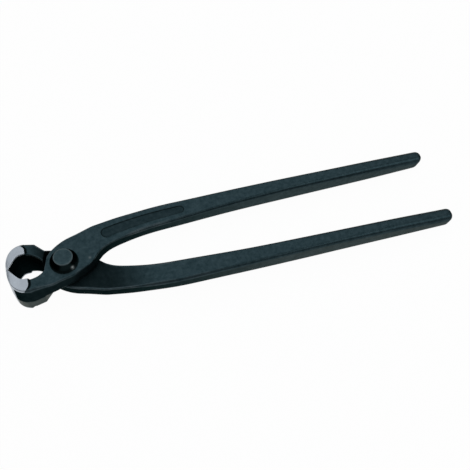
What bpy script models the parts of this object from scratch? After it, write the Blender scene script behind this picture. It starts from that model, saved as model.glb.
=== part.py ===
"""End cutting nippers: two forged levers of one shape, turned over on each other, and one pivot rivet.

The origin is on the pivot axis, at the flat face of the rear rivet head. +X runs to the handle ends,
+Y to the upper handle and +Z along the rivet. All sizes are in metres.
"""
import math
from collections import namedtuple

import bmesh
import bpy
import numpy as np

# Overall lengths, from the pivot axis
HANDLE_LENGTH = 0.2200
JAW_REACH = 0.0291

# Handle: distance from the middle line, width in plan, half thickness and corner radius
HANDLE_END_OFFSET = 0.0217
HANDLE_END_WIDTH = 0.0081
HANDLE_END_HALF = 0.0046
HANDLE_END_CORNER = 0.0033
GRIP_X = 0.140
GRIP_OFFSET = 0.02065
GRIP_WIDTH = 0.0085
GRIP_HALF = 0.0056
GRIP_CORNER = 0.0021
SHANK_X = 0.062
SHANK_OFFSET = 0.0187
SHANK_WIDTH = 0.0125
SHANK_HALF = 0.0039
SHANK_CORNER = 0.0014

# Rounded handle end, longest on the side that faces up: how far it grows for each metre of height
HANDLE_END_ROUND = 0.0033
END_SLANT = 0.45
END_SLANT_LENGTH = 0.010

# How far each handle size (offset, width, half thickness, corner) has changed half way along a stretch
GRIP_TO_END = (0.43, 0.95, 0.08, 0.5)
SHANK_TO_GRIP = (0.69, 0.65, 0.63, 0.5)

# Lap joint
PLATE_THICKNESS = 0.0068
LAP_GAP = 0.0003
CROTCH_X = 0.0181
BOSS_RADIUS = 0.0098
SHOULDER_GAP = 0.0007
STOP_DEGREES = 223.5
PLATE_CORNER = 0.0006
PLATE_DRAFT = 0.0011
BACK_DRAFT = 0.0002

# From shank to crotch: where the ribs stand, the powers that shape the lever between them, and how its
# inner side turns in, partly along the whole way and partly close to the crotch
SHANK_SHARES = (0.25, 0.48)
CROTCH_SHARES = (0.66, 0.81, 0.93, 1.0)
TOP_POWER = 1.35
BOTTOM_POWER = 1.15
BACK_POWER = 1.55
INNER_POWER = 1.45
TURN_IN_POWER = 9
INNER_TAPER = 0.70
DRAFT_POWER = 9
LEAN = -0.0003
LEAN_POWER = 4

# Lap plate outline, with distances from the pivot axis as shares of the boss radius and angles in degrees
BACK_AT_CROTCH = 1.85
INNER_AT_CROTCH = 0.09
HIP_OUTLINE = ((1.86, 58.0, 1.46, -15.5), (1.33, 82.0, 1.08, -40.0))
BOSS_OUTLINE = ((1.0, 118.0, 1.0, -72.0), (1.0, 148.0, 1.06, -97.0), (1.0, 176.0, 1.15, -107.0))
BOSS_BOWS = (0.0, 0.4, 0.8)
SHOULDER_DEGREES = 187.0
SHOULDER_OUTER = (1.34, 244.0)

# Jaw: the mouth is the closed hollow behind the cutting edge
EDGE_LAND = 0.00115
EDGE_GAP = 0.0003
MOUTH_CENTRE = 0.0182
MOUTH_HALF_HEIGHT = 0.0072
MOUTH_SLOPE = 1.38
MOUTH_BLEND = 0.001
MOUTH_POWER = 1.55
JAW_HALF_HEIGHT = 0.0139
JAW_POWER = 2.4
JAW_SIDE = 0.01065
JAW_SIDE_DROP = 0.0015
JAW_CORNER = 0.0006
JAW_DRAFT = 0.0015
JAW_START_DEGREES = 75.0

# Neck, between the shoulder and the jaw: it starts a step above the other lever's plate
NECK_SIDE = 0.0092
NECK_STEP = 0.0006
NECK_CORNER = 0.0012
NECK_START_DEGREES = 21.0
NECK_POWER = 2.2

# Recessed panel on the handle
PANEL_START = 0.0218
PANEL_END = 0.0692
PANEL_START_WIDTH = 0.0060
PANEL_END_WIDTH = 0.0046
PANEL_DEPTH = 0.0004

# Rivet
RIVET_SHANK_RADIUS = 0.0042
RIVET_HEAD_RADIUS = 0.0075
RIVET_FACE_RADIUS = 0.00515
RIVET_HEAD_HEIGHT = 0.0047
RIVET_GAP = 0.0003

# Blackened steel: colour and roughness, and the angle from which an edge looks sharp
LEVER_FINISH = ((0.017, 0.028, 0.033), 0.40)
RIVET_FINISH = ((0.018, 0.029, 0.036), 0.33)
SHARP_DEGREES = 35.0

# Mesh steps, and the shares that keep neighbouring points of a section apart
STEPS_PER_SPAN = 5
NECK_STEPS = 8
JAW_STEPS = 12
CORNER_STEPS = 2
END_STEPS = 4
END_TURN = 0.9
ROUND_STEPS = 48
PANEL_STEPS = 12
PANEL_END_STEPS = 5
MERGE_DISTANCE = 1e-6
CORNER_LIMIT = 0.45
LEDGE_CLEAR = 1.4
PARTING_CLEAR = 1.2

MID_HEIGHT = PLATE_THICKNESS + RIVET_HEAD_HEIGHT
LAP_FACE = LAP_GAP / 2
BORE_RADIUS = RIVET_SHANK_RADIUS + RIVET_GAP
HANDLE_END = (HANDLE_END_OFFSET, HANDLE_END_WIDTH, HANDLE_END_HALF, HANDLE_END_CORNER)
GRIP = (GRIP_OFFSET, GRIP_WIDTH, GRIP_HALF, GRIP_CORNER)
SHANK = (SHANK_OFFSET, SHANK_WIDTH, SHANK_HALF, SHANK_CORNER)

# A rib crosses the lever from its back or mouth edge (left) to its inner or outer edge (right).
# sides: top left, top right, bottom left and bottom right heights above the lap plane.
# corners: left and right corner radii. drafts: how far the left and right walls bulge at the lap plane.
# bow: how far the rib bends towards the jaw. under: how far its right wall is cut back below the lap plane.
Rib = namedtuple("Rib", "left right sides corners drafts bow under", defaults=((0.0, 0.0), 0.0, 0.0))


def clear_scene():
    for item in list(bpy.data.objects):
        bpy.data.objects.remove(item, do_unlink=True)


def steel(name, finish):
    """A Principled material for blackened steel."""
    colour, roughness = finish
    material = bpy.data.materials.new(name)
    material.use_nodes = True
    shader = material.node_tree.nodes["Principled BSDF"]
    shader.inputs["Base Color"].default_value = (*colour, 1.0)
    shader.inputs["Metallic"].default_value = 1.0
    shader.inputs["Roughness"].default_value = roughness
    return material


def between(low, high, share):
    return low + (high - low) * share


def polar(radius, degrees):
    angle = math.radians(degrees)
    return (radius * math.cos(angle), radius * math.sin(angle))


def mixed(first, second, shares):
    """A handle section part of the way between two others, each size by its own share."""
    return [between(low, high, share) for low, high, share in zip(first, second, shares)]


def handle_rib(x, section):
    offset, width, half, corner = section
    left, right = (x, offset + width / 2), (x, offset - width / 2)
    return Rib(left, right, (half, half, -half, -half), (corner, corner))


def lever_rib(share, corner):
    """A rib between the shank (share 0) and the crotch (share 1), as the lever lifts to its plate."""
    x = between(SHANK_X, CROTCH_X, share)
    top = between(SHANK_HALF, PLATE_THICKNESS, share**TOP_POWER)
    bottom = between(-SHANK_HALF, LAP_FACE, share**BOTTOM_POWER)
    back = between(SHANK_OFFSET + SHANK_WIDTH / 2, BACK_AT_CROTCH * BOSS_RADIUS, share**BACK_POWER)
    turn_in = INNER_TAPER * share**INNER_POWER + (1 - INNER_TAPER) * share**TURN_IN_POWER
    inner = between(SHANK_OFFSET - SHANK_WIDTH / 2, INNER_AT_CROTCH * BOSS_RADIUS, turn_in)
    left = (x + LEAN * share**LEAN_POWER, back)
    drafts = (BACK_DRAFT * share, PLATE_DRAFT * share**DRAFT_POWER)
    return Rib(left, (x, inner), (top, top, bottom, bottom), (corner, corner), drafts)


def plate_rib(left, right, drafts, bow):
    sides = (PLATE_THICKNESS, PLATE_THICKNESS, LAP_FACE, LAP_FACE)
    return Rib(left, right, sides, (PLATE_CORNER, PLATE_CORNER), drafts, bow)


def outline_rib(points, back_draft, bow):
    """A rib of the lap plate between two outline points, given as shares of the boss radius and angles."""
    left_share, left_degrees, right_share, right_degrees = points
    left = polar(left_share * BOSS_RADIUS, left_degrees)
    right = polar(right_share * BOSS_RADIUS, right_degrees)
    return plate_rib(left, right, (back_draft, PLATE_DRAFT), bow)


def shoulder_ends():
    """The ends of the last rib of the lap plate, which clears the other lever's boss by the shoulder gap."""
    outer_share, outer_degrees = SHOULDER_OUTER
    inner = polar(BOSS_RADIUS + SHOULDER_GAP, SHOULDER_DEGREES)
    return inner, polar(outer_share * BOSS_RADIUS, outer_degrees)


def handle_and_plate_ribs():
    """Ribs from the handle end to the shoulder, where the lever is only as thick as its lap plate."""
    end_x = HANDLE_LENGTH - math.hypot(HANDLE_END_ROUND, END_SLANT * HANDLE_END_HALF)
    return [
        handle_rib(end_x, HANDLE_END),
        handle_rib((GRIP_X + end_x) / 2, mixed(GRIP, HANDLE_END, GRIP_TO_END)),
        handle_rib(GRIP_X, GRIP),
        handle_rib((SHANK_X + GRIP_X) / 2, mixed(SHANK, GRIP, SHANK_TO_GRIP)),
        handle_rib(SHANK_X, SHANK),
        *(lever_rib(share, SHANK_CORNER) for share in SHANK_SHARES),
        *(lever_rib(share, PLATE_CORNER) for share in CROTCH_SHARES),
        *(outline_rib(points, BACK_DRAFT, 0.0) for points in HIP_OUTLINE),
        *(outline_rib(points, LAP_GAP, bow * SHOULDER_GAP) for points, bow in zip(BOSS_OUTLINE, BOSS_BOWS)),
        plate_rib(*shoulder_ends(), (LAP_GAP, PLATE_DRAFT), SHOULDER_GAP),
    ]


def cut_back(left, right):
    """How much of a rib lies past the stop face, a plane through the pivot axis."""
    way = polar(1.0, STOP_DEGREES)
    start = left[0] * way[1] - left[1] * way[0]
    end = right[0] * way[1] - right[1] * way[0]
    if end * start >= 0:
        return 0.0
    return math.dist(left, right) * end / (end - start)


def oval(reach, half_height, power, degrees):
    """A point of a superellipse quarter about the mouth's middle, 90 degrees at its lowest point."""
    angle = math.radians(degrees)
    across = max(math.cos(angle), 0.0) ** (2 / power)
    down = max(math.sin(angle), 0.0) ** (2 / power)
    return (-MOUTH_CENTRE - reach * across, -EDGE_GAP / 2 - half_height * down)


def mouth_rear(degrees):
    """A point of the mouth's edge between its middle and the pivot."""
    return oval(BOSS_RADIUS - MOUTH_CENTRE, MOUTH_HALF_HEIGHT, MOUTH_POWER, degrees)


def mouth_front(degrees):
    """A point of the mouth's edge ahead of its middle: the smooth minimum of a straight slope up from the
    cutting edge and the mouth's half height."""
    reach = JAW_REACH - EDGE_LAND - MOUTH_CENTRE
    ahead = reach * max(math.cos(math.radians(degrees)), 0.0) ** (2 / MOUTH_POWER)
    slope = MOUTH_SLOPE * (reach - ahead)
    both = math.exp(-slope / MOUTH_BLEND) + math.exp(-MOUTH_HALF_HEIGHT / MOUTH_BLEND)
    height = max(-MOUTH_BLEND * math.log(both), 0.0)
    return (-MOUTH_CENTRE - ahead, -EDGE_GAP / 2 - height)


def neck_ribs():
    """Ribs from the shoulder round the back of the mouth to the root of the jaw."""
    shoulder_x, shoulder_y = shoulder_ends()[1]
    ribs = []
    for step in range(NECK_STEPS + 1):
        share = step / NECK_STEPS
        left = mouth_rear(between(NECK_START_DEGREES, 90.0, share))
        right = (
            between(shoulder_x - LAP_GAP, -MOUTH_CENTRE, share),
            between(-JAW_HALF_HEIGHT, shoulder_y, (1 - share) ** NECK_POWER),
        )
        rise = share * share * (3 - 2 * share)
        top = between(PLATE_THICKNESS, NECK_SIDE, rise)
        low = -between(PLATE_THICKNESS + NECK_STEP, NECK_SIDE, rise)
        corners = (PLATE_CORNER, between(PLATE_CORNER, NECK_CORNER, rise))
        drafts = (0.0, between(PLATE_DRAFT, JAW_DRAFT, share))
        bow = SHOULDER_GAP * (1 - share)
        ribs.append(Rib(left, right, (top, top, low, low), corners, drafts, bow, cut_back(left, right)))
    return ribs


def jaw_ribs():
    """Ribs from the root of the jaw to the cutting edge, at the jaw's full width across Z."""
    outer = JAW_SIDE - JAW_SIDE_DROP
    sides = (JAW_SIDE, outer, -JAW_SIDE, -outer)
    ribs = []
    for step in range(JAW_STEPS + 1):
        degrees = JAW_START_DEGREES * (1 - step / JAW_STEPS)
        right = oval(JAW_REACH - MOUTH_CENTRE, JAW_HALF_HEIGHT, JAW_POWER, degrees)
        draft = JAW_DRAFT * math.sin(math.radians(degrees))
        ribs.append(Rib(mouth_front(degrees), right, sides, (JAW_CORNER / 2, JAW_CORNER), (0.0, draft)))
    return ribs


def as_row(rib):
    return np.array([*rib.left, *rib.right, *rib.sides, *rib.corners, *rib.drafts, rib.bow, rib.under])


def smooth_rows(rows, steps):
    """Smooth curves through the rows that never swing past them.

    Each row's slope is the harmonic mean of the two spans beside it.
    """
    rows = np.array(rows)
    gaps = np.linalg.norm(np.diff(rows[:, :4], axis=0), axis=1)
    spans = np.diff(rows, axis=0) / gaps[:, None]
    before, after = spans[:-1], spans[1:]
    same_way = before * after > 0
    total = np.where(same_way, before + after, 1.0)
    inner_slopes = np.where(same_way, 2 * before * after / total, 0.0)
    slopes = np.vstack([spans[:1], inner_slopes, spans[-1:]])
    result = []
    for k, gap in enumerate(gaps):
        for u in np.linspace(0, 1, steps, endpoint=False):
            result.append(
                (2 * u**3 - 3 * u**2 + 1) * rows[k]
                + (u**3 - 2 * u**2 + u) * gap * slopes[k]
                + (3 * u**2 - 2 * u**3) * rows[k + 1]
                + (u**3 - u**2) * gap * slopes[k + 1]
            )
    result.append(rows[-1])
    return result


def ring(row):
    """The closed section of a rib: rounded corners, and walls that bulge towards the lap plane."""
    left, right = row[0:2], row[2:4]
    top_left, top_right, bottom_left, bottom_right = row[4:8]
    drafts, bow, under = row[10:12], row[12], row[13]
    width = np.linalg.norm(right - left)
    along = (right - left) / width
    ahead = np.array([along[1], -along[0]])
    thickness = min(top_left - bottom_left, top_right - bottom_right)
    corners = np.minimum(row[8:10], CORNER_LIMIT * min(width, thickness))
    reach = max(top_left, top_right, -bottom_left, -bottom_right)
    section = []
    for side, turn in ((0, 180.0), (1, 90.0), (1, 0.0), (0, 270.0)):
        corner = corners[side]
        upper = turn in (180.0, 90.0)
        wall = width if upper else width - under
        centre = wall - corner if side else corner
        for step in range(CORNER_STEPS + 1):
            angle = math.radians(turn - 90.0 * step / CORNER_STEPS)
            across = centre + corner * math.cos(angle)
            share = across / width
            if upper:
                height = between(top_left, top_right, share) - corner + corner * math.sin(angle)
            else:
                height = between(bottom_left, bottom_right, share) + corner + corner * math.sin(angle)
            section.append((across, height, side))
        if turn == 90.0:
            section.append((width, max(2 * LAP_FACE, bottom_right + LEDGE_CLEAR * corner), 1))
            section.append((width - under, max(LAP_FACE, bottom_right + PARTING_CLEAR * corner), 1))
    section.append((0.0, max(0.0, bottom_left + PARTING_CLEAR * corners[0]), 0))
    points = []
    for across, height, side in section:
        bulge = drafts[side] * max(0.0, 1 - abs(height) / reach)
        across = across + bulge if side else across - bulge
        share = min(max(across / width, 0.0), 1.0)
        plan = left + along * across + ahead * bow * 4 * share * (1 - share)
        points.append((plan[0], plan[1], height))
    return np.array(points)


def end_rings(section):
    """Rings that round off the handle end, shrinking about the first section's middle."""
    middle = section.mean(axis=0)
    rings = []
    for step in range(END_STEPS, 0, -1):
        angle = 0.5 * math.pi * END_TURN * step / END_STEPS
        shrunk = middle + (section - middle) * math.cos(angle)
        rings.append(shrunk + np.array([HANDLE_END_ROUND * math.sin(angle), 0.0, 0.0]))
    return rings


def slant_end(mesh, facing_up):
    """Slants the handle end, more and more over its last stretch, so that its upper side is longest."""
    start = HANDLE_LENGTH - END_SLANT_LENGTH
    for vertex in mesh.vertices:
        share = min(max((vertex.co.x - start) / END_SLANT_LENGTH, 0.0), 1.0)
        vertex.co.x += END_SLANT * share * facing_up * vertex.co.z


def as_mesh(shape, name):
    """A finished bmesh as a mesh whose faces point out."""
    bmesh.ops.recalc_face_normals(shape, faces=shape.faces)
    mesh = bpy.data.meshes.new(name)
    shape.to_mesh(mesh)
    shape.free()
    return mesh


def skin(name, rings):
    """A closed mesh over a row of rings, with a cap on each end."""
    shape = bmesh.new()
    loops = [[shape.verts.new(point) for point in points] for points in rings]
    count = len(loops[0])
    for first, second in zip(loops, loops[1:]):
        for k in range(count):
            after = (k + 1) % count
            shape.faces.new((first[k], first[after], second[after], second[k]))
    shape.faces.new(list(reversed(loops[0])))
    shape.faces.new(loops[-1])
    return as_mesh(shape, name)


def turned_mesh(name, profile):
    """A closed solid of revolution about Z through (radius, height) points, from the top axis point down."""
    shape = bmesh.new()
    points = [shape.verts.new((radius, 0.0, height)) for radius, height in profile]
    edges = [shape.edges.new(pair) for pair in zip(points, points[1:])]
    around = dict(cent=(0, 0, 0), axis=(0, 0, 1), angle=2 * math.pi, steps=ROUND_STEPS)
    bmesh.ops.spin(shape, geom=points + edges, **around)
    bmesh.ops.remove_doubles(shape, verts=shape.verts, dist=MERGE_DISTANCE)
    return as_mesh(shape, name)


def put(name, mesh, height):
    item = bpy.data.objects.new(name, mesh)
    item.location = (0.0, 0.0, height)
    bpy.context.scene.collection.objects.link(item)
    return item


def cutter(mesh):
    item = put(mesh.name, mesh, 0.0)
    item.hide_render = True
    item.display_type = "WIRE"
    return item


def bore_mesh():
    """A cutter for the rivet's bore, longer than the plate is thick."""
    reach = 2 * PLATE_THICKNESS
    profile = [(0.0, reach), (BORE_RADIUS, reach), (BORE_RADIUS, -reach), (0.0, -reach)]
    return turned_mesh("bore_cutter", profile)


def panel_mesh(rows):
    """A cutter for the recessed panel: it follows the middle of the handle, with round ends."""
    middles = np.array([(row[0:2] + row[2:4]) / 2 for row in rows])
    tops = np.array([row[4] for row in rows])
    order = np.argsort(middles[:, 0])
    first, last = PANEL_START_WIDTH / 2, PANEL_END_WIDTH / 2
    straight = np.linspace(PANEL_START + first, PANEL_END - last, PANEL_STEPS)
    turn = np.linspace(0, 0.5 * math.pi, PANEL_END_STEPS)[1:-1]
    round_start = PANEL_START + first * (1 - np.cos(turn))
    round_end = PANEL_END - last * (1 - np.cos(turn[::-1]))
    rings = []
    for x in np.concatenate([round_start, straight, round_end]):
        half = np.interp(x, [straight[0], straight[-1]], [first, last])
        inset = max(straight[0] - x, x - straight[-1], 0.0)
        half = math.sqrt(half**2 - inset**2)
        y = np.interp(x, middles[order, 0], middles[order, 1])
        top = np.interp(x, middles[order, 0], tops[order])
        low, high = top - PANEL_DEPTH, top + PANEL_DEPTH
        rings.append([(x, y + half, high), (x, y - half, high), (x, y - half, low), (x, y + half, low)])
    return skin("panel_cutter", rings)


def lever_mesh():
    """The forging: one skin from handle end to cutting edge, bored for the rivet, with the panel cut in."""
    rows = smooth_rows([as_row(rib) for rib in handle_and_plate_ribs()], STEPS_PER_SPAN)
    jaw_rows = [as_row(rib) for rib in neck_ribs() + jaw_ribs()]
    rings = [ring(row) for row in rows + jaw_rows]
    blank = put("lever_blank", skin("lever_blank", end_rings(rings[0]) + rings), 0.0)
    for tool in (cutter(bore_mesh()), cutter(panel_mesh(rows))):
        cut = blank.modifiers.new(tool.name, "BOOLEAN")
        cut.operation = "DIFFERENCE"
        cut.object = tool
    bpy.context.view_layer.update()
    mesh = bpy.data.meshes.new_from_object(blank.evaluated_get(bpy.context.evaluated_depsgraph_get()))
    clear_scene()
    return mesh


def finish(mesh, name, look):
    mesh.name = name
    mesh.materials.clear()
    mesh.materials.append(steel(name + "_black", look))
    mesh.shade_smooth()
    mesh.set_sharp_from_angle(angle=math.radians(SHARP_DEGREES))


def make_levers():
    mesh = lever_mesh()
    for name, facing_up in (("upper_lever", 1), ("lower_lever", -1)):
        own = mesh.copy()
        slant_end(own, facing_up)
        finish(own, name, LEVER_FINISH)
        lever = put(name, own, MID_HEIGHT)
        lever.rotation_euler = (0.0 if facing_up > 0 else math.pi, 0.0, 0.0)


def make_rivet():
    """A headed rivet: a flat face and a conical flank on each side, and a shank through both plates."""
    face = PLATE_THICKNESS + RIVET_HEAD_HEIGHT
    seat = PLATE_THICKNESS + RIVET_GAP
    flank = [(RIVET_FACE_RADIUS, face), (RIVET_HEAD_RADIUS, seat)]
    upper = [(0.0, face), *flank, (RIVET_SHANK_RADIUS, seat)]
    lower = [(radius, -height) for radius, height in reversed(upper)]
    mesh = turned_mesh("pivot_rivet", upper + lower)
    finish(mesh, "pivot_rivet", RIVET_FINISH)
    put("pivot_rivet", mesh, MID_HEIGHT)


clear_scene()
make_levers()
make_rivet()
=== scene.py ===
"""End cutting nippers in blackened forged steel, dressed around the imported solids.

Each lever is one surface: a rounded section carried from the handle end, over the lap plate, round the
mouth to the cutting edge. Lever shapes are worked out in a frame whose origin is on the pivot axis, half
way between the two plates, and lifted to the row frame at the end. All sizes are in metres.
"""
import math

import bpy
import numpy as np
from mathutils import Matrix


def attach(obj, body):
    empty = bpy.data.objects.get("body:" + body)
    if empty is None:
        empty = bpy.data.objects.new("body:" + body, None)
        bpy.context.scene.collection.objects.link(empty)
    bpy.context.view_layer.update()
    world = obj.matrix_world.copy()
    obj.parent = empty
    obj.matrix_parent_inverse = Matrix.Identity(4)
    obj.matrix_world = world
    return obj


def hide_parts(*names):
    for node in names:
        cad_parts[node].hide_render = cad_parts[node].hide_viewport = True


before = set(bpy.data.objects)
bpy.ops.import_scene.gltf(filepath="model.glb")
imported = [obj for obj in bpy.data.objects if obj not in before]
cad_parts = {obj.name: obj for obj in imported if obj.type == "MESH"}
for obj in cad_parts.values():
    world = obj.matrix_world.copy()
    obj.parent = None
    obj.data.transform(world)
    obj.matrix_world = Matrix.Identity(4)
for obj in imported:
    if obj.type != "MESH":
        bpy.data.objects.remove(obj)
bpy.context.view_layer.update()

# Overall lengths, from the pivot axis
HANDLE_LENGTH = 0.21965
JAW_REACH = 0.02905

# Handle: distance from the middle line, width in plan, half thickness and corner radius
HANDLE_END = dict(offset=0.0217, width=0.0081, half=0.0046, corner=0.0033)
GRIP = dict(offset=0.02065, width=0.0085, half=0.0056, corner=0.0021)
SHANK = dict(offset=0.0187, width=0.0125, half=0.0039, corner=0.0014)
HANDLE_END_ROUND = 0.0033
END_SLANT = 0.45
END_SLANT_LENGTH = 0.010
GRIP_X = 0.140
SHANK_X = 0.062

# Lap joint
PLATE_THICKNESS = 0.0068
LAP_FACE = 0.00015
CROTCH_X = 0.0181
BOSS_RADIUS = 0.0098
SHOULDER_GAP = 0.0007
STOP_DEGREES = 224.3
INNER_TAPER = 0.70
PLATE_CORNER = 0.0006
PLATE_DRAFT = 0.0011
BACK_DRAFT = 0.0002
LEAN = -0.0003

# How the lever swells from the shank (share 0) to the crotch (share 1): powers of the share, and the crotch
# rib's ends as shares of the boss radius
TOP_POWER = 1.35
BOTTOM_POWER = 1.15
BACK_POWER = 1.55
INNER_POWER = 1.45
CROTCH_POWER = 9
DRAFT_POWER = 9
LEAN_POWER = 4
CROTCH_BACK = 1.85
CROTCH_INNER = 0.09
SHANK_SHARES = (0.25, 0.48)
CROTCH_SHARES = (0.66, 0.81, 0.93, 1.0)

# Handle sections half way along a stretch: the share of the change that each size has made by then
GRIP_TO_END = dict(offset=0.43, width=0.95, half=0.08, corner=0.5)
SHANK_TO_GRIP = dict(offset=0.69, width=0.65, half=0.63, corner=0.5)

# Ribs of the lap plate: back end and inner end, each as a share of the boss radius and degrees about the
# pivot, and the bow as a share of the shoulder gap
HIP_RIBS = ((1.86, 58, 1.46, -15.5, 0.0), (1.33, 82, 1.08, -40, 0.0))
BOSS_RIBS = ((1.03, 118, 1.0, -72, 0.0), (1.0, 148, 1.06, -97, 0.4), (1.0, 176, 1.15, -107, 0.8))
SHOULDER_INNER_DEGREES = 187
SHOULDER_OUTER_DEGREES = 244
SHOULDER_OUTER = 1.30

# Smoothing of the handle's ribs: half the window in ribs, the bell's spread as a share of that, where along X
# it fades in, and how far past the panel the fine ribs go on
SMOOTH_REACH = 24
SMOOTH_SPREAD = 0.4
SMOOTH_START = 0.022
SMOOTH_LENGTH = 0.014
FINE_PAST_PANEL = 0.004

# Corners of a section: the largest share of its width or thickness, and the room kept above the low corners
# in corner radii
CORNER_LIMIT = 0.45
LEDGE_ROOM = 1.4
WALL_ROOM = 1.2

# Jaw: the mouth is the closed hollow behind the cutting edge
EDGE_LAND = 0.00115
EDGE_GAP = 0.0003
MOUTH_CENTRE = 0.0182
MOUTH_HALF_HEIGHT = 0.0072
MOUTH_SLOPE = 1.38
MOUTH_BLEND = 0.001
MOUTH_POWER = 1.55
JAW_HALF_HEIGHT = 0.0138
JAW_POWER = 2.4
JAW_SIDE = 0.01065
JAW_SIDE_DROP = 0.0015
JAW_CORNER = 0.0006
JAW_DRAFT = 0.0015
NECK_SIDE = 0.0092
NECK_STEP = 0.0015
NECK_CORNER = 0.0012
NECK_START_DEGREES = 21.0
SETTLE_DEGREES = 16.0

# Ground land on the jaw: its rear edge, how that edge curves near the outer side, and the ramp behind it
LAND_X = -0.0191
LAND_X_UNDER = -0.0186
LAND_CURVE_Y = 0.0098
LAND_CURVE = 150.0
LAND_RAMP = 0.0016
FRONT_X = -0.0268

# Depth inside the ground faces, as the finish reads it: its limit either way, the depth over which the finish
# changes, the share of a rib past which a corner is an outer one, and how far the land's depth counts there
GROUND_LIMIT = 0.001
GROUND_EDGE = 0.00006
OUTER_CORNER = 0.9
OUTER_CORNER_DEPTH = 0.5

# Painted shade, which darkens and dulls the finish: on walls, lap face, neck, rivet flank, mouth and panel
WALL_SHADE = 0.62
WALL_SHADE_START = 0.005
WALL_SHADE_LENGTH = 0.12
LAP_SHADE = 0.66
LAP_SHADE_DROP = 0.0028
NECK_SHADE = 0.75
FLANK_SHADE = 0.92
MOUTH_SHADE = 0.80
PANEL_SHADE = 0.3
PANEL_WALL_SHADE = 2.2

# Painted shadow in a band behind the ground land: its shade, the length of its rise, where it starts to
# fade and how long that takes
BAND_SHADE = 0.95
BAND_RISE = 0.0003
BAND_WIDTH = 0.0009
BAND_FADE = 0.0008

# Worn corners, lighter also as a painted highlight along the edges: full up to this X, then fading out
# over a length
WORN_AND_HIGHLIGHT_X = 0.03
WORN_AND_HIGHLIGHT_FADE = 0.06

# Recessed panel on the handle
PANEL_START = 0.0218
PANEL_END = 0.0692
PANEL_START_WIDTH = 0.0060
PANEL_END_WIDTH = 0.0046
PANEL_DEPTH = 0.0005
PANEL_WALL = 0.0005

# Rivet
RIVET_SHANK_RADIUS = 0.0042
RIVET_HEAD_RADIUS = 0.0075
RIVET_FACE_RADIUS = 0.00515
RIVET_HEAD_HEIGHT = 0.0047
RIVET_GAP = 0.0003
RIVET_RIM = 0.00035
RIVET_RIM_TURN = 0.35
# Lighter steel round the rim of the face: wear, and a painted highlight
RIVET_RIM_WEAR_AND_HIGHLIGHT = 0.10
FLANK_POWER = 1.8

# Small light spots: a nick on the plate, lit partly as a painted highlight, and a painted highlight on the
# rivet's flank: place, strength and size
NICK_HIGHLIGHT_PLACE = (0.0133, -0.0011, PLATE_THICKNESS)
NICK_HIGHLIGHT_STRENGTH = 0.22
NICK_HIGHLIGHT_SIZE = 0.0006
FLANK_HIGHLIGHT_PLACE = (0.0037, -0.0053, 0.0080)
FLANK_HIGHLIGHT_STRENGTH = 0.9
FLANK_HIGHLIGHT_SIZE = 0.0007

MID_HEIGHT = PLATE_THICKNESS + RIVET_HEAD_HEIGHT

# Steps of the grids, and the angle above which an edge is shaded sharp
FINE_STEP = 0.0004
COARSE_EVERY = 3
NECK_RINGS = 48
JAW_RINGS = 110
END_RINGS = 14
CORNER_STEPS = 6
TOP_STEPS = 64
BOTTOM_STEPS = 24
WALL_STEPS = 8
ROUND_STEPS = 128
FACE_STEPS = 10
RIM_STEPS = 7
FLANK_STEPS = 26
SHARP_DEGREES = 38

# Finish, with its painted shade and painted highlights: colours, and scales of the noise that mottles them
LEVER_BLACK = ((0.0125, 0.0260, 0.0310, 1), (0.0295, 0.0500, 0.0580, 1))
RIVET_BLACK = ((0.016, 0.030, 0.036, 1), (0.031, 0.052, 0.059, 1))
GROUND_STEEL = ((0.365, 0.405, 0.45, 1), (0.475, 0.515, 0.56, 1))
WORN_AND_HIGHLIGHT_STEEL = (0.10, 0.12, 0.13, 1)
BARE_AND_HIGHLIGHT_STEEL = (0.30, 0.33, 0.33, 1)
SHADE_BLACK = (0.003, 0.006, 0.006, 1)
SHEEN = (0.68, 0.68, 0.64, 1)
SHADE_SHEEN = (0.15, 0.20, 0.18, 1)
WHITE = (1, 1, 1, 1)
MOTTLE_SCALE = 420.0
LEVER_GRAIN_SCALE = 1500.0
RIVET_GRAIN_SCALE = 3200.0
WORN_AND_HIGHLIGHT_SCALE = 90.0
GRINDING_STRETCH = (500.0, 6000.0, 900.0)
SHADE_ROUGHNESS = 0.75
LEVER_BUMP = 0.00005
RIVET_BUMP = 0.00002

# Floor and light
FLOOR_SIZE = 2.0
FLOOR_GREY = (0.82, 0.82, 0.82, 1.0)
FLOOR_GLOW = 0.97
LAMP_TARGET = (0.08, 0.0, 0.0)
COOL_WHITE = (0.96, 0.98, 1.0)
WORLD_STRENGTH = 0.35

# Camera, as found from the photograph: angles in degrees, lengths in metres
CAMERA_ELEVATION = 57.844
CAMERA_AZIMUTH = 23.529
CAMERA_ROLL = -7.707
CAMERA_DISTANCE = 0.345403
CAMERA_ACROSS = 0.089723
CAMERA_UP = 0.01729
CAMERA_LENS = 49.85
SENSOR_WIDTH = 36.0
CLIP_START = 0.01


def between(low, high, share):
    return low + (high - low) * share


def ease(share):
    """Smoothstep: 3 s^2 - 2 s^3 of the share, held between 0 and 1."""
    share = np.clip(share, 0.0, 1.0)
    return share * share * (3.0 - 2.0 * share)


def polar(radius, degrees):
    angle = np.radians(degrees)
    return radius * np.cos(angle), radius * np.sin(angle)


def row(left, right, sides, corners, drafts, bow=0.0, under=0.0):
    """One rib as a list of numbers: its left and right ends, four side heights, two corner radii, two
    drafts, bow and undercut."""
    return np.array([*left, *right, *sides, *corners, *drafts, bow, under])


def handle_row(x, shape):
    half = shape["half"]
    left = (x, shape["offset"] + shape["width"] / 2)
    right = (x, shape["offset"] - shape["width"] / 2)
    return row(left, right, (half, half, -half, -half), (shape["corner"],) * 2, (0.0, 0.0))


def mixed(first, second, shares):
    """A handle section part of the way between two others, each size by its own share."""
    return {key: between(first[key], second[key], shares[key]) for key in first}


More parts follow.
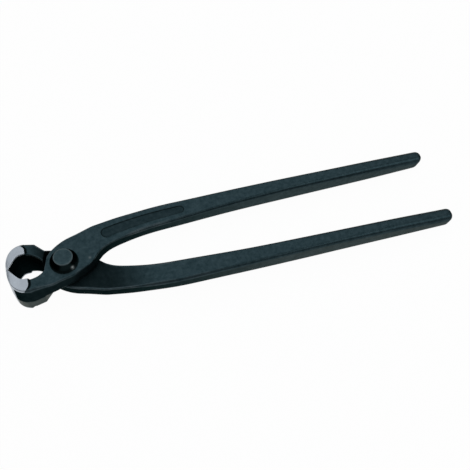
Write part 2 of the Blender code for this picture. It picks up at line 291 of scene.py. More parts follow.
def lever_row(share, corner):
    """A rib between the shank and the crotch: the lever lifts from mid height to its plate."""
    x = between(SHANK_X, CROTCH_X, share)
    top = between(SHANK["half"], PLATE_THICKNESS, share ** TOP_POWER)
    bottom = between(-SHANK["half"], LAP_FACE, share ** BOTTOM_POWER)
    back = between(SHANK["offset"] + SHANK["width"] / 2, CROTCH_BACK * BOSS_RADIUS, share ** BACK_POWER)
    turn_in = INNER_TAPER * share ** INNER_POWER + (1 - INNER_TAPER) * share ** CROTCH_POWER
    inner = between(SHANK["offset"] - SHANK["width"] / 2, CROTCH_INNER * BOSS_RADIUS, turn_in)
    left = (x + LEAN * share ** LEAN_POWER, back)
    drafts = (BACK_DRAFT * share, PLATE_DRAFT * share ** DRAFT_POWER)
    return row(left, (x, inner), (top, top, bottom, bottom), (corner, corner), drafts)


def plate_row(left, right, drafts, bow):
    sides = (PLATE_THICKNESS, PLATE_THICKNESS, LAP_FACE, LAP_FACE)
    return row(left, right, sides, (PLATE_CORNER, PLATE_CORNER), drafts, bow)


def shoulder_ends():
    inner = polar(BOSS_RADIUS + SHOULDER_GAP, SHOULDER_INNER_DEGREES)
    return inner, polar(SHOULDER_OUTER * BOSS_RADIUS, SHOULDER_OUTER_DEGREES)


def outline_rows(ribs, drafts):
    return [
        plate_row(polar(back * BOSS_RADIUS, back_turn), polar(inner * BOSS_RADIUS, inner_turn), drafts,
                  bow * SHOULDER_GAP)
        for back, back_turn, inner, inner_turn, bow in ribs
    ]


def guide_rows():
    """The ribs that the handle and the lap plate are drawn through, from the handle end to the shoulder."""
    end_x = HANDLE_LENGTH - math.hypot(HANDLE_END_ROUND, END_SLANT * HANDLE_END["half"])
    boss = (2 * LAP_FACE, PLATE_DRAFT)
    plate = (BACK_DRAFT, PLATE_DRAFT)
    return np.array([
        handle_row(end_x, HANDLE_END),
        handle_row(between(GRIP_X, end_x, 0.5), mixed(GRIP, HANDLE_END, GRIP_TO_END)),
        handle_row(GRIP_X, GRIP),
        handle_row(between(SHANK_X, GRIP_X, 0.5), mixed(SHANK, GRIP, SHANK_TO_GRIP)),
        handle_row(SHANK_X, SHANK),
        *(lever_row(share, SHANK["corner"]) for share in SHANK_SHARES),
        *(lever_row(share, PLATE_CORNER) for share in CROTCH_SHARES),
        *outline_rows(HIP_RIBS, plate),
        *outline_rows(BOSS_RIBS, boss),
        plate_row(*shoulder_ends(), boss, SHOULDER_GAP),
    ])


def handle_and_plate_rows():
    """Dense ribs: a cubic Hermite curve through the guide ribs, whose slopes are the harmonic mean of the
    two spans beside each rib, so that it never swings past them. The handle's part is then averaged over a
    moving bell-shaped window, which takes the last unevenness out of its edges."""
    rows = guide_rows()
    gaps = np.linalg.norm(np.diff(rows[:, :4], axis=0), axis=1)
    knots = np.concatenate([[0.0], np.cumsum(gaps)])
    spans = np.diff(rows, axis=0) / gaps[:, None]
    before, after = spans[:-1], spans[1:]
    same_way = before * after > 0
    total = np.where(same_way, before + after, 1.0)
    slopes = np.vstack([spans[:1], np.where(same_way, 2 * before * after / total, 0.0), spans[-1:]])
    count = int(round(knots[-1] / (math.sqrt(2) * FINE_STEP)))
    at = np.linspace(0.0, knots[-1], count)
    span = np.clip(np.searchsorted(knots, at, side="right") - 1, 0, len(gaps) - 1)
    u = ((at - knots[span]) / gaps[span])[:, None]
    width = gaps[span][:, None]
    dense = (
        (2 * u**3 - 3 * u**2 + 1) * rows[span]
        + (u**3 - 2 * u**2 + u) * width * slopes[span]
        + (3 * u**2 - 2 * u**3) * rows[span + 1]
        + (u**3 - u**2) * width * slopes[span + 1]
    )
    reach = SMOOTH_REACH
    bell = np.exp(-0.5 * (np.arange(-reach, reach + 1) / (SMOOTH_SPREAD * reach)) ** 2)
    bell /= bell.sum()
    ahead = 2 * dense[0] - dense[reach:0:-1]
    behind = 2 * dense[-1] - dense[-2:-reach - 2:-1]
    mirrored = np.vstack([ahead, dense, behind])
    windows = np.lib.stride_tricks.sliding_window_view(mirrored, 2 * reach + 1, axis=0)
    averaged = windows @ bell
    on_handle = ease((dense[:, :1] - SMOOTH_START) / SMOOTH_LENGTH)
    dense = between(dense, averaged, on_handle)
    keep = (dense[:, 0] < PANEL_END + FINE_PAST_PANEL) | (np.arange(count) % COARSE_EVERY == 0)
    return dense[keep]


def oval(centre, reach, half_height, power, degrees):
    """Points of a superellipse quarter below the middle line, 90 degrees at its lowest point."""
    angle = np.radians(degrees)
    across = np.maximum(np.cos(angle), 0.0) ** (2 / power)
    down = np.maximum(np.sin(angle), 0.0) ** (2 / power)
    return np.stack([-centre - reach * across, -EDGE_GAP / 2 - half_height * down], axis=-1)


def lesser(first, second, blend):
    """Smooth minimum of two lengths: -b log(exp(-p/b) + exp(-q/b)), b the blend length, not below 0."""
    return np.maximum(0.0, -blend * np.log(np.exp(-first / blend) + np.exp(-second / blend)))


def mouth_front(degrees):
    """The mouth's edge ahead of its middle: a straight slope up from the cutting edge, blended into the
    mouth's half height."""
    reach = JAW_REACH - EDGE_LAND - MOUTH_CENTRE
    ahead = reach * np.maximum(np.cos(np.radians(degrees)), 0.0) ** (2 / MOUTH_POWER)
    height = lesser(MOUTH_SLOPE * (reach - ahead), MOUTH_HALF_HEIGHT, MOUTH_BLEND)
    return np.stack([-MOUTH_CENTRE - ahead, -EDGE_GAP / 2 - height], axis=-1)


def cut_back(left, right):
    """How much of each rib lies past the stop face, a plane through the pivot axis."""
    way = polar(1.0, STOP_DEGREES)
    start = left[:, 0] * way[1] - left[:, 1] * way[0]
    end = right[:, 0] * way[1] - right[:, 1] * way[0]
    crosses = end * start < 0
    share = np.where(crosses, end / np.where(crosses, end - start, 1.0), 0.0)
    return np.linalg.norm(right - left, axis=1) * share


def neck_rows():
    """Ribs from the shoulder round the back of the mouth, on its superellipse, to the jaw's root."""
    share = np.linspace(0.0, 1.0, NECK_RINGS)
    shoulder_x, shoulder_y = shoulder_ends()[1]
    degrees = between(NECK_START_DEGREES, 90.0, share)
    left = oval(MOUTH_CENTRE, BOSS_RADIUS - MOUTH_CENTRE, MOUTH_HALF_HEIGHT, MOUTH_POWER, degrees)
    right = np.stack(
        [
            between(shoulder_x - 2 * LAP_FACE, -MOUTH_CENTRE, share),
            between(-EDGE_GAP / 2 - JAW_HALF_HEIGHT, shoulder_y, 1 - share),
        ],
        axis=-1,
    )
    rise = ease(share)
    top = between(PLATE_THICKNESS, NECK_SIDE, rise)
    low = -between(PLATE_THICKNESS + NECK_STEP, NECK_SIDE, rise)
    corner = between(PLATE_CORNER, NECK_CORNER, rise)
    draft = between(PLATE_DRAFT, JAW_DRAFT, share)
    plain = np.full_like(share, PLATE_CORNER)
    none = np.zeros_like(share)
    bow = SHOULDER_GAP * (1 - share)
    columns = [left, right, top, top, low, low, plain, corner, none, draft, bow, cut_back(left, right)]
    return np.column_stack(columns)


def jaw_rows(turned):
    """Ribs from the jaw's root to the cutting edge. The jaw's face drops outward only on the side that faces
    up, which is the underside of the lever that is turned over later."""
    degrees = 90.0 * (1.0 - np.linspace(0.0, 1.0, JAW_RINGS))
    left = mouth_front(degrees)
    right = oval(MOUTH_CENTRE, JAW_REACH - MOUTH_CENTRE, JAW_HALF_HEIGHT, JAW_POWER, degrees)
    one = np.ones_like(degrees)
    dropped = JAW_SIDE - JAW_SIDE_DROP
    outer_top, outer_low = (JAW_SIDE, dropped) if turned else (dropped, JAW_SIDE)
    settle = ease((90.0 - degrees) / SETTLE_DEGREES)
    corner = between(NECK_CORNER, JAW_CORNER, settle)
    inner_corner = between(PLATE_CORNER, JAW_CORNER / 2, settle)
    draft = JAW_DRAFT * np.sin(np.radians(degrees))
    sides = [JAW_SIDE * one, outer_top * one, -JAW_SIDE * one, -outer_low * one]
    return np.column_stack([left, right, *sides, inner_corner, corner, 0 * one, draft, 0 * one, 0 * one])


def sections(rows):
    """The closed section of every rib: distance across, height and share of the right wall of each point.

    Corners are quarter circles, and what lies between them is straight: the top, the right wall down to the
    lap plane, a ledge of the undercut's depth there, the lower right wall, the bottom and the left wall.
    Also returned: which of the points belong to corners, the top and bottom, or the left or right wall.
    """
    left, right = rows[:, 0:2], rows[:, 2:4]
    width = np.linalg.norm(right - left, axis=1)
    thickness = np.minimum(rows[:, 4] - rows[:, 6], rows[:, 5] - rows[:, 7])
    limit = CORNER_LIMIT * np.minimum(width, thickness)
    corner = (np.minimum(rows[:, 8], limit)[:, None], np.minimum(rows[:, 9], limit)[:, None])
    wide, under = width[:, None], rows[:, 13:14]
    turn = np.linspace(0.0, 0.5 * np.pi, CORNER_STEPS + 1)[None, :]

    def arc(side, upper, start):
        angle = math.radians(start) - turn
        wall = wide if upper else wide - under
        centre = wall - corner[1] if side else corner[0]
        across = centre + corner[side] * np.cos(angle)
        share = across / wide
        if upper:
            height = between(rows[:, 4:5], rows[:, 5:6], share) - corner[side]
        else:
            height = between(rows[:, 6:7], rows[:, 7:8], share) + corner[side]
        return across, height + corner[side] * np.sin(angle)

    def line(first, second, steps):
        share = (np.arange(1, steps) / steps)[None, :]
        return tuple(between(a, b, share) for a, b in zip(first, second))

    def end(block, place):
        return tuple(part[:, place][:, None] for part in block)

    top_left, top_right = arc(0, True, 180.0), arc(1, True, 90.0)
    low_right, low_left = arc(1, False, 0.0), arc(0, False, 270.0)
    ledge = (wide, np.maximum(2 * LAP_FACE, rows[:, 7:8] + LEDGE_ROOM * corner[1]))
    under_ledge = (wide - under, np.maximum(LAP_FACE, rows[:, 7:8] + WALL_ROOM * corner[1]))
    back = (0 * wide, np.maximum(0.0, rows[:, 6:7] + WALL_ROOM * corner[0]))
    blocks = [
        (top_left, 0.0, "corner"),
        (line(end(top_left, -1), end(top_right, 0), TOP_STEPS), None, "top"),
        (top_right, 1.0, "corner"),
        (line(end(top_right, -1), ledge, WALL_STEPS), 1.0, "right"),
        (ledge, 1.0, "right"),
        (under_ledge, 1.0, "right"),
        (line(under_ledge, end(low_right, 0), WALL_STEPS), 1.0, "right"),
        (low_right, 1.0, "corner"),
        (line(end(low_right, -1), end(low_left, 0), BOTTOM_STEPS), None, "bottom"),
        (low_left, 0.0, "corner"),
        (line(end(low_left, -1), back, WALL_STEPS), 0.0, "left"),
        (back, 0.0, "left"),
        (line(back, end(top_left, 0), WALL_STEPS), 0.0, "left"),
    ]
    across = np.concatenate([block[0][0] + 0 * wide for block in blocks], axis=1)
    height = np.concatenate([block[0][1] + 0 * wide for block in blocks], axis=1)
    share = across / wide
    weight = np.concatenate(
        [
            np.full(block[0][0].shape[1], np.nan if block[1] is None else block[1])
            for block in blocks
        ]
    )
    weight = np.where(np.isnan(weight)[None, :], np.clip(share, 0.0, 1.0), weight[None, :])
    kinds = np.concatenate([[block[2]] * block[0][0].shape[1] for block in blocks])
    return across, height, weight, kinds


def carried(rows):
    """The lever's grid: each section laid along its rib, its walls bulging towards the lap plane in
    proportion to 1 - |height| / reach, and the rib bowed towards the jaw as the parabola 4 s (1 - s)."""
    across, height, weight, kinds = sections(rows)
    left, right = rows[:, 0:2], rows[:, 2:4]
    width = np.linalg.norm(right - left, axis=1)[:, None]
    along = (right - left) / width
    ahead = np.stack([along[:, 1], -along[:, 0]], axis=1)
    reach = np.abs(rows[:, 4:8]).max(axis=1)[:, None]
    fade = np.maximum(0.0, 1 - np.abs(height) / reach)
    across = across + fade * (weight * rows[:, 11:12] - (1 - weight) * rows[:, 10:11])
    share = np.clip(across / width, 0.0, 1.0)
    bend = rows[:, 12:13] * 4 * share * (1 - share)
    plan = left[:, None, :] + along[:, None, :] * across[:, :, None]
    plan = plan + ahead[:, None, :] * bend[:, :, None]
    return np.concatenate([plan, height[:, :, None]], axis=2), share, kinds


def spot(grid, place, size):
    """A small round spot: exp(-d^2 / r^2) of the distance from its place."""
    return np.exp(-((grid - np.array(place)) ** 2).sum(axis=-1) / size**2)


def land_depth(grid):
    """How far a point lies inside the ground land: ahead of a rear edge that is straight, and beyond a
    distance from the middle line curves forward as the square of the rest."""
    outward = np.maximum(0.0, np.abs(grid[..., 1]) - LAND_CURVE_Y)
    rear = np.where(grid[..., 2] > 0.0, LAND_X, LAND_X_UNDER)
    return rear - LAND_CURVE * outward**2 - grid[..., 0]


def panel_depth(grid, rows):
    """How far a point lies inside the panel: the distance from a spine half way between the handle's edges,
    taken from a radius that tapers from one end to the other."""
    middle = (rows[:, 0:2] + rows[:, 2:4]) / 2
    order = np.argsort(middle[:, 0])
    first, last = PANEL_START_WIDTH / 2, PANEL_END_WIDTH / 2
    x = np.clip(grid[..., 0], PANEL_START + first, PANEL_END - last)
    y = np.interp(x, middle[order, 0], middle[order, 1])
    half = np.interp(x, [PANEL_START + first, PANEL_END - last], [first, last])
    return half - np.hypot(grid[..., 0] - x, grid[..., 1] - y)


def shaded(grid, rows, kinds, handle_count):
    """How much painted shade darkens and dulls the finish: a fixed share in the mouth, on the neck a share
    that grows towards the boss, on the lap face one that fades with the lever's lift, and on the walls one
    that fades out along the handle."""
    left, right, bottom = [(kinds == kind)[None, :] for kind in ("left", "right", "bottom")]
    beyond = (np.arange(len(rows)) >= handle_count)[:, None]
    along = WALL_SHADE * (1.0 - ease((grid[..., 0] - WALL_SHADE_START) / WALL_SHADE_LENGTH))
    lap = LAP_SHADE * ease(1.0 + rows[:, 6:7] / LAP_SHADE_DROP)
    neck = NECK_SHADE * np.clip((grid[..., 0] + MOUTH_CENTRE) / (MOUTH_CENTRE - BOSS_RADIUS), 0.0, 1.0)
    shade = np.where(left, np.where(beyond, MOUTH_SHADE, along), 0.0)
    shade = np.where(right & (~beyond | (grid[..., 2] > 0.0)), along, shade)
    return np.where(bottom, np.where(beyond, neck, lap), shade)


def lever_grid(turned):
    """Every ring of the lever from the handle to the cutting edge, with the values its finish reads: how far
    inside the ground faces a point lies, how far its corner is lightened for wear and as a painted highlight,
    how much painted shade darkens and dulls it, and how much a nick on the plate lightens it, partly as a
    painted highlight."""
    handle = handle_and_plate_rows()
    jaw = jaw_rows(turned)[1:]
    rows = np.vstack([handle, neck_rows(), jaw])
    grid, share, kinds = carried(rows)
    is_jaw = (np.arange(len(rows)) >= len(rows) - len(jaw))[:, None]

    # The land stands proud of the black sides behind it: heights shrink where its ramp has not yet risen.
    inside = land_depth(grid)
    risen = np.clip(1.0 + inside / LAND_RAMP, 0.0, 1.0)
    over = between(rows[:, 4:5], rows[:, 5:6], share)
    beneath = -between(rows[:, 6:7], rows[:, 7:8], share)
    land_side = np.where(grid[..., 2] > 0.0, over, beneath)
    grid[..., 2] *= np.where(is_jaw, 1.0 - (1.0 - risen) * (1.0 - NECK_SIDE / land_side), 1.0)

    on_top = (kinds == "top")[None, :]
    sunk = ease(0.5 + panel_depth(grid, handle) / PANEL_WALL) * PANEL_DEPTH
    grid[..., 2] -= np.where(on_top, sunk, 0.0)

    side = np.isin(kinds, ("top", "bottom"))[None, :]
    front = np.where((kinds == "right")[None, :], FRONT_X - grid[..., 0], -1.0)
    corner = (kinds == "corner")[None, :]
    # Painted shade: how far the finish is darkened and dulled where shade falls
    painted_shade = shaded(grid, rows, kinds, len(handle))
    beyond = (np.arange(len(rows)) >= len(handle))[:, None]
    # Painted shadow: a dark band on the side faces just behind the ground land
    band = ease(-inside / BAND_RISE) * (1.0 - ease((-inside - BAND_WIDTH) / BAND_FADE))
    painted_shade = np.maximum(painted_shade, np.where(side & beyond, BAND_SHADE * band, 0.0))
    # Painted shade on the panel's sunk floor, and a darker painted shadow along its wall
    drop = sunk / PANEL_DEPTH
    panel_shade = PANEL_SHADE * drop + PANEL_WALL_SHADE * drop * (1.0 - drop)
    painted_shade = painted_shade + np.where(on_top, panel_shade, 0.0)
    outer = corner & (share >= OUTER_CORNER)
    ground = np.where(side | (corner & (share < OUTER_CORNER)), inside, front)
    on_outer = np.maximum(inside * OUTER_CORNER_DEPTH, FRONT_X - grid[..., 0])
    ground = np.where(outer, on_outer, ground)
    ground = np.clip(np.where(is_jaw, ground, -1.0), -GROUND_LIMIT, GROUND_LIMIT)
    # Worn corners near the head, lighter also as a painted highlight along the edges
    edge = np.where(corner, 1.0 - ease((grid[..., 0] - WORN_AND_HIGHLIGHT_X) / WORN_AND_HIGHLIGHT_FADE), 0.0)
    # A nick on the plate, its light spot partly a painted highlight
    bare_and_highlight = NICK_HIGHLIGHT_STRENGTH * spot(grid, NICK_HIGHLIGHT_PLACE, NICK_HIGHLIGHT_SIZE)
    return grid, {"ground": ground, "edge": edge, "painted_shade": painted_shade, "bare_and_highlight": bare_and_highlight}


def rounded_end(grid):
    """Rings that round off the handle end: the first ring shrunk about its middle by the cosine of an angle
    and moved out by its sine."""
    angle = np.linspace(0.5 * np.pi, 0.0, END_RINGS + 1)[1:-1]
    middle = grid[0].mean(axis=0)
    rings = middle + (grid[0] - middle)[None] * np.cos(angle)[:, None, None]
    rings[..., 0] += HANDLE_END_ROUND * np.sin(angle)[:, None]
    tip = middle + np.array([HANDLE_END_ROUND, 0.0, 0.0])
    return rings, tip


def closed_mesh(name, grid, first_pole, last_pole, values):
    """A closed skin over rings of points: quads between neighbouring rings, and a fan to a pole at each
    end. values holds one number a point, which become attributes of the mesh."""
    rings, count = grid.shape[:2]
    points = np.vstack([grid.reshape(-1, 3), first_pole, last_pole])
    index = np.arange(rings * count).reshape(rings, count)
    after = np.roll(index, -1, axis=1)
    quads = np.stack([index[:-1], after[:-1], after[1:], index[1:]], axis=-1).reshape(-1, 4)
    first = np.stack([np.full(count, rings * count), after[0], index[0]], axis=-1)
    last = np.stack([np.full(count, rings * count + 1), index[-1], after[-1]], axis=-1)
    corners = np.concatenate([quads.ravel(), first.ravel(), last.ravel()])
    starts = np.concatenate([np.arange(len(quads)) * 4, quads.size + np.arange(2 * count) * 3])
    mesh = bpy.data.meshes.new(name)
    mesh.vertices.add(len(points))
    mesh.vertices.foreach_set("co", points.ravel())
    mesh.loops.add(len(corners))
    mesh.loops.foreach_set("vertex_index", corners.astype(np.int32))
    mesh.polygons.add(len(starts))
    mesh.polygons.foreach_set("loop_start", starts.astype(np.int32))
    mesh.update(calc_edges=True)
    for key, value in values.items():
        attribute = mesh.attributes.new(key, "FLOAT", "POINT")
        padded = np.concatenate([value.ravel(), [value[0].mean(), value[-1].mean()]])
        attribute.data.foreach_set("value", padded.astype(np.float32))
    mesh.validate()
    return mesh


def put(name, mesh):
    item = bpy.data.objects.new(name, mesh)
    bpy.context.scene.collection.objects.link(item)
    return item


def turned_grid(radius, height):
    """A profile turned about Z: x = r cos a, y = r sin a, with a running once round clockwise, so that the
    faces of a profile that runs downwards look outward."""
    angle = np.linspace(2 * np.pi, 0.0, ROUND_STEPS, endpoint=False)
    shape = (len(radius), ROUND_STEPS)
    x = radius[:, None] * np.cos(angle)[None, :]
    y = radius[:, None] * np.sin(angle)[None, :]
    return np.stack([x, y, np.broadcast_to(height[:, None], shape)], axis=-1)


def turned_mesh(name, radius, height, values, spots=()):
    """The turned skin; values holds one number a ring, and each spot adds to one of them near a place."""
    grid = turned_grid(radius[1:-1], height[1:-1])
    spread = {key: 0 * grid[..., 0] + value[1:-1, None] for key, value in values.items()}
    for key, place, strength, size in spots:
        spread[key] += strength * spot(grid, place, size)
    return closed_mesh(name, grid, (0.0, 0.0, height[0]), (0.0, 0.0, height[-1]), spread)


def slanted_end(mesh, turned):
    """Slants the handle end, longest on the side that faces up: x grows by the slant times the height, times
    a share that rises from 0 to 1 over the last stretch of the handle."""
    points = np.empty(3 * len(mesh.vertices))
    mesh.vertices.foreach_get("co", points)
    points = points.reshape(-1, 3)
    share = np.maximum(0.0, 1.0 - (HANDLE_LENGTH - points[:, 0]) / END_SLANT_LENGTH)
    points[:, 0] += END_SLANT * np.minimum(share, 1.0) * np.where(turned, -points[:, 2], points[:, 2])
    mesh.vertices.foreach_set("co", points.ravel())
    mesh.update()


def finished(mesh, turned, material):
    """The mesh in its place: turned over about X for the lower lever, lifted to the row frame, and shaded
    smooth but for its sharp edges."""
    turn = Matrix.Rotation(math.pi if turned else 0.0, 4, "X")
    mesh.transform(Matrix.Translation((0.0, 0.0, MID_HEIGHT)) @ turn)
    mesh.materials.clear()
    mesh.materials.append(material)
    mesh.shade_smooth()
    mesh.set_sharp_from_angle(angle=math.radians(SHARP_DEGREES))
    return mesh


def lever_mesh(turned):
    """The lever's skin with its bore cut through."""
    grid, values = lever_grid(turned)
    end_rings, tip = rounded_end(grid)
    at_end = {"ground": -GROUND_LIMIT, "edge": 0.0, "painted_shade": 0.0, "bare_and_highlight": 0.0}
    shape = end_rings.shape[:2]
    values = {key: np.vstack([np.full(shape, at_end[key]), value]) for key, value in values.items()}
    grid = np.vstack([end_rings, grid])
    mesh = closed_mesh("lever", grid, tip, grid[-1].mean(axis=0), values)
    blank = put("lever_blank", mesh)
    bore_radius = RIVET_SHANK_RADIUS + RIVET_GAP
    reach = 2 * PLATE_THICKNESS
    radius = np.array([0.0, bore_radius, bore_radius, 0.0])
    height = np.array([reach, reach, -reach, -reach])
    drill = put("lever_drill", turned_mesh("lever_drill", radius, height, {}))
    cut = blank.modifiers.new("bore", "BOOLEAN")
    cut.operation = "DIFFERENCE"
    cut.object = drill
    bpy.context.view_layer.update()
    bored = bpy.data.meshes.new_from_object(blank.evaluated_get(bpy.context.evaluated_depsgraph_get()))
    bpy.data.objects.remove(blank)
    bpy.data.objects.remove(drill)
    return bored


def rivet_profile():
    """Half the rivet from the middle of its front face to the top of its shank: a flat face with a small
    round rim, a flank that flares out to its foot as a power of (1 - s), and the underside of the head. Also
    returned: how much painted shade each point gets, and how much lighter steel it shows, which on the rim
    stands for wear and a painted highlight."""
    rim = RIVET_RIM
    turn = np.linspace(0.0, RIVET_RIM_TURN * np.pi, RIM_STEPS)
    face = PLATE_THICKNESS + RIVET_HEAD_HEIGHT
    rim_radius = RIVET_FACE_RADIUS - rim + rim * np.sin(turn)
    rim_height = face - rim * (1 - np.cos(turn))
    share = np.linspace(0.0, 1.0, FLANK_STEPS)[1:]
    flank_radius = between(rim_radius[-1], RIVET_HEAD_RADIUS, share)
    foot = PLATE_THICKNESS + RIVET_GAP
    flank_height = between(foot, rim_height[-1], (1 - share) ** FLANK_POWER)
    face_radius = np.linspace(0.0, RIVET_FACE_RADIUS - rim, FACE_STEPS)[:-1]
    radius = np.concatenate([face_radius, rim_radius, flank_radius, [RIVET_SHANK_RADIUS]])
    height = np.concatenate([np.full_like(face_radius, face), rim_height, flank_height, [foot]])
    # Painted shade: dark on the flank, and fully dark where the head meets the shank
    shade = np.concatenate([0 * face_radius, 0 * rim_radius, FLANK_SHADE + 0 * share, [1.0]])
    # Lighter steel on the rim: wear, and a painted highlight
    bare_and_highlight = np.concatenate([0 * face_radius, RIVET_RIM_WEAR_AND_HIGHLIGHT + 0 * rim_radius, 0 * share, [0.0]])
    return radius, height, shade, bare_and_highlight


class Nodes:
    """Short calls to add and join shader nodes."""

    def __init__(self, name):
        self.material = bpy.data.materials.new(name)
        self.material.use_nodes = True
        self.tree = self.material.node_tree
        self.shader = self.tree.nodes["Principled BSDF"]

    def add(self, kind, **settings):
        node = self.tree.nodes.new(kind)
        for key, value in settings.items():
            setattr(node, key, value)
        return node

    def join(self, source, target):
        self.tree.links.new(source, target)

    def feed(self, target, value):
        """A socket's value: a link where a socket is given, and otherwise a plain number or colour."""
        if isinstance(value, bpy.types.NodeSocket):
            self.join(value, target)
        else:
            target.default_value = value

    def noise(self, place, scale, detail=2.0, roughness=0.5):
        node = self.add("ShaderNodeTexNoise")
        node.inputs["Scale"].default_value = scale
        node.inputs["Detail"].default_value = detail
        node.inputs["Roughness"].default_value = roughness
        self.join(place, node.inputs["Vector"])
        return node.outputs["Fac"]

    def stretched(self, place, scale):
        node = self.add("ShaderNodeMapping")
        node.inputs["Scale"].default_value = scale
        self.join(place, node.inputs["Vector"])
        return node.outputs["Vector"]

    def spread(self, value, low, high, to_low, to_high):
        node = self.add("ShaderNodeMapRange")
        keys = ("From Min", "From Max", "To Min", "To Max")
        for key, number in zip(keys, (low, high, to_low, to_high)):
            node.inputs[key].default_value = number
        self.join(value, node.inputs["Value"])
        return node.outputs["Result"]

    def times(self, first, second):
        node = self.add("ShaderNodeMath", operation="MULTIPLY")
        self.feed(node.inputs[0], first)
        self.feed(node.inputs[1], second)
        return node.outputs["Value"]

    def colour(self, factor, first, second):
        node = self.add("ShaderNodeMix", data_type="RGBA")
        self.feed(node.inputs["Factor"], factor)
        self.feed(node.inputs[6], first)
        self.feed(node.inputs[7], second)
        return node.outputs[2]

    def number(self, factor, first, second):
        node = self.add("ShaderNodeMix", data_type="FLOAT")
        self.feed(node.inputs["Factor"], factor)
        self.feed(node.inputs[2], first)
        self.feed(node.inputs[3], second)
        return node.outputs[0]

    def bump(self, height, distance, strength):
        node = self.add("ShaderNodeBump")
        node.inputs["Distance"].default_value = distance
        node.inputs["Strength"].default_value = strength
        self.join(height, node.inputs["Height"])
        self.join(node.outputs["Normal"], self.shader.inputs["Normal"])

    def attribute(self, name):
        return self.add("ShaderNodeAttribute", attribute_name=name).outputs["Fac"]

    def place(self):
        return self.add("ShaderNodeTexCoord").outputs["Object"]


def lever_steel(name):
    """Black oxide over forged steel, mottled and faintly grained, lighter on its edges near the head from
    wear and from a painted highlight, darkened and dulled by painted shade where the mesh says so, with a
    nick on the plate lit partly as a painted highlight, and bright ground steel with fine grinding marks
    where the mesh says that a face was ground."""
    n = Nodes(name)
    place = n.place()
    mottle = n.noise(place, MOTTLE_SCALE, detail=5.0, roughness=0.65)
    grain = n.noise(place, LEVER_GRAIN_SCALE, detail=4.0, roughness=0.6)
    black = n.colour(n.spread(mottle, 0.3, 0.7, 0.0, 1.0), *LEVER_BLACK)
    # Corners lighter from wear and from a painted highlight along the edges
    patches = n.noise(place, WORN_AND_HIGHLIGHT_SCALE, detail=3.0)
    worn_and_highlight = n.times(n.attribute("edge"), n.spread(patches, 0.40, 0.70, 0.0, 0.55))
    black = n.colour(worn_and_highlight, black, WORN_AND_HIGHLIGHT_STEEL)
    # Painted shade: darker, duller steel with a weaker sheen where the mesh asks for it
    painted_shade = n.attribute("painted_shade")
    black = n.colour(painted_shade, black, SHADE_BLACK)
    sheen = n.colour(painted_shade, SHEEN, SHADE_SHEEN)
    marks = n.noise(n.stretched(place, GRINDING_STRETCH), scale=1.0, detail=3.0)
    bright = n.colour(marks, *GROUND_STEEL)
    # Lighter steel at the nick on the plate, partly a painted highlight
    black = n.colour(n.attribute("bare_and_highlight"), black, BARE_AND_HIGHLIGHT_STEEL)
    ground = n.spread(n.attribute("ground"), -GROUND_EDGE, GROUND_EDGE, 0.0, 1.0)
    n.join(n.colour(ground, black, bright), n.shader.inputs["Base Color"])
    n.join(n.colour(ground, sheen, WHITE), n.shader.inputs["Specular Tint"])
    black_gloss = n.number(painted_shade, n.spread(grain, 0.3, 0.7, 0.34, 0.46), SHADE_ROUGHNESS)
    bright_gloss = n.spread(marks, 0.3, 0.7, 0.34, 0.46)
    n.join(n.number(ground, black_gloss, bright_gloss), n.shader.inputs["Roughness"])
    n.shader.inputs["Metallic"].default_value = 1.0
    n.bump(n.number(ground, grain, marks), LEVER_BUMP, strength=0.3)
    return n.material


def rivet_steel(name):
    """Smooth black oxide on a formed rivet, with faint mottling, painted shade on its flank, a rim lighter
    from wear and from a painted highlight, and a painted highlight on the flank.
    """
    n = Nodes(name)
    place = n.place()
    mottle = n.noise(place, MOTTLE_SCALE, detail=5.0, roughness=0.65)
    grain = n.noise(place, RIVET_GRAIN_SCALE)
    black = n.colour(n.spread(mottle, 0.3, 0.7, 0.0, 1.0), *RIVET_BLACK)
    # Painted shade: darker steel with a weaker sheen on the flank
    painted_shade = n.attribute("painted_shade")
    dark = n.colour(painted_shade, black, SHADE_BLACK)
    # Lighter steel: wear and a painted highlight on the face's rim, and a painted highlight on the flank
    n.join(n.colour(n.attribute("bare_and_highlight"), dark, BARE_AND_HIGHLIGHT_STEEL), n.shader.inputs["Base Color"])
    n.join(n.colour(painted_shade, SHEEN, SHADE_SHEEN), n.shader.inputs["Specular Tint"])
    n.join(n.spread(grain, 0.3, 0.7, 0.26, 0.36), n.shader.inputs["Roughness"])
    n.shader.inputs["Metallic"].default_value = 1.0
    n.bump(grain, RIVET_BUMP, strength=0.2)
    return n.material


def make_pieces():
    for name, node, body, turned in (
        ("upper_lever_forging", "upper_lever", "upper", False),
        ("lower_lever_forging", "lower_lever", "lower", True),
    ):
        own = lever_mesh(turned)
        own.name = name
        slanted_end(own, turned)
        lever = put(name, finished(own, turned, lever_steel(name + "_steel")))
        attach(lever, body)
        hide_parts(node)
    radius, height, shade, bare_and_highlight = rivet_profile()
    radius = np.concatenate([radius, radius[::-1]])
    height = np.concatenate([height, -height[::-1]])
    values = {"painted_shade": np.concatenate([shade, shade[::-1]]), "bare_and_highlight": np.concatenate([bare_and_highlight, bare_and_highlight[::-1]])}
    # A painted highlight on the rivet's flank
    spots = [("bare_and_highlight", FLANK_HIGHLIGHT_PLACE, FLANK_HIGHLIGHT_STRENGTH, FLANK_HIGHLIGHT_SIZE)]
    mesh = turned_mesh("rivet_formed", radius, height, values, spots)
    rivet = put("rivet_formed", finished(mesh, False, rivet_steel("rivet_formed_steel")))
    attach(rivet, "lower")
    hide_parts("pivot_rivet")


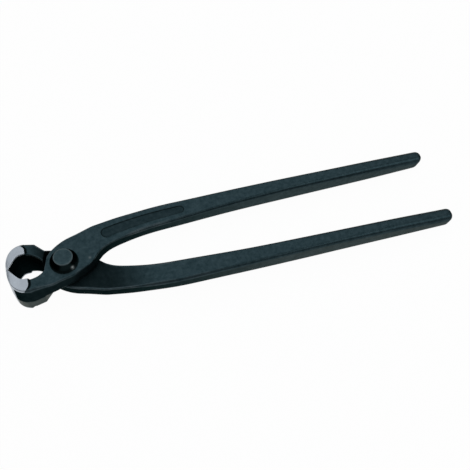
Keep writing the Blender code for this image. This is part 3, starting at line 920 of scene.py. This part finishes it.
def floor_finish():
    """White to the camera and in reflections, with a share of plain diffuse white that takes the shadow."""
    n = Nodes("floor_white")
    n.shader.inputs["Base Color"].default_value = FLOOR_GREY
    n.shader.inputs["Roughness"].default_value = 0.9
    n.shader.inputs["Specular IOR Level"].default_value = 0.0
    rays = n.add("ShaderNodeLightPath")
    seen = n.add("ShaderNodeMath", operation="MAXIMUM")
    n.join(rays.outputs["Is Camera Ray"], seen.inputs[0])
    n.join(rays.outputs["Is Glossy Ray"], seen.inputs[1])
    also = n.add("ShaderNodeMath", operation="MAXIMUM")
    n.join(seen.outputs["Value"], also.inputs[0])
    n.join(rays.outputs["Is Transmission Ray"], also.inputs[1])
    glow = n.add("ShaderNodeEmission")
    glow.inputs["Strength"].default_value = 1.0
    mix = n.add("ShaderNodeMixShader")
    n.join(n.times(also.outputs["Value"], FLOOR_GLOW), mix.inputs["Fac"])
    n.join(n.shader.outputs["BSDF"], mix.inputs[1])
    n.join(glow.outputs["Emission"], mix.inputs[2])
    n.join(mix.outputs["Shader"], n.tree.nodes["Material Output"].inputs["Surface"])
    return n.material


def make_floor():
    """A plane that the tool lies on: it touches the rear rivet face and the handle ends."""
    rise = (MID_HEIGHT - HANDLE_END["half"]) / (HANDLE_LENGTH - HANDLE_END_ROUND - RIVET_FACE_RADIUS)
    size = FLOOR_SIZE
    corner = np.array([[-size, -size], [size, -size], [size, size], [-size, size]])
    points = np.column_stack([corner, (corner[:, 0] - RIVET_FACE_RADIUS) * rise])
    mesh = bpy.data.meshes.new("floor")
    mesh.from_pydata(points.tolist(), [], [(0, 1, 2, 3)])
    mesh.materials.append(floor_finish())
    put("floor", mesh)


def stand(item, right, up, back, place):
    """Turns an item's own axes to right, up and back, and puts it in its place."""
    columns = np.column_stack([right, up, back, place])
    item.matrix_world = Matrix(np.vstack([columns, [0, 0, 0, 1]]).tolist())


def aimed(item, place, target):
    """Puts a lamp at a place and turns its -Z axis to the target."""
    back = np.array(place) - np.array(target)
    back = back / np.linalg.norm(back)
    right = np.cross((0.0, 0.0, 1.0), back)
    right = right / np.linalg.norm(right)
    up = np.cross(back, right)
    stand(item, right, up, back, place)


def make_lamp(name, place, size, watts, colour):
    lamp = bpy.data.lights.new(name, "AREA")
    lamp.shape = "RECTANGLE"
    lamp.size, lamp.size_y = size
    lamp.energy = watts
    lamp.color = colour
    aimed(put(name, lamp), place, LAMP_TARGET)


def make_light():
    make_lamp("back_softbox", place=(0.0, 0.62, 1.0), size=(2.4, 1.3), watts=9.0, colour=COOL_WHITE)
    make_lamp("front_softbox", place=(0.66, -0.42, 0.82), size=(0.6, 0.6), watts=2.0, colour=WHITE[:3])
    world = bpy.data.worlds.new("studio")
    bpy.context.scene.world = world
    world.use_nodes = True
    backdrop = world.node_tree.nodes["Background"]
    backdrop.inputs["Color"].default_value = (*COOL_WHITE, 1.0)
    backdrop.inputs["Strength"].default_value = WORLD_STRENGTH


def make_camera():
    """A camera turned by azimuth and elevation about the pivot, then rolled and slid in its own plane."""
    elevation, azimuth, roll = np.radians([CAMERA_ELEVATION, CAMERA_AZIMUTH, CAMERA_ROLL])
    flat = np.cos(elevation)
    back = np.array([-np.sin(azimuth) * flat, -np.cos(azimuth) * flat, np.sin(elevation)])
    level = np.array([np.cos(azimuth), -np.sin(azimuth), 0.0])
    rise = np.cross(back, level)
    right = np.cos(roll) * level - np.sin(roll) * rise
    up = np.sin(roll) * level + np.cos(roll) * rise
    eye = back * CAMERA_DISTANCE + right * CAMERA_ACROSS + up * CAMERA_UP
    eye = eye + np.array([0.0, 0.0, MID_HEIGHT])
    data = bpy.data.cameras.new("photo_camera")
    data.sensor_width = SENSOR_WIDTH
    data.lens = CAMERA_LENS
    data.clip_start = CLIP_START
    camera = put("photo_camera", data)
    stand(camera, right, up, back, eye)
    bpy.context.scene.camera = camera


make_camera()
make_pieces()
make_floor()
make_light()
bpy.context.scene.view_settings.view_transform = "Standard"
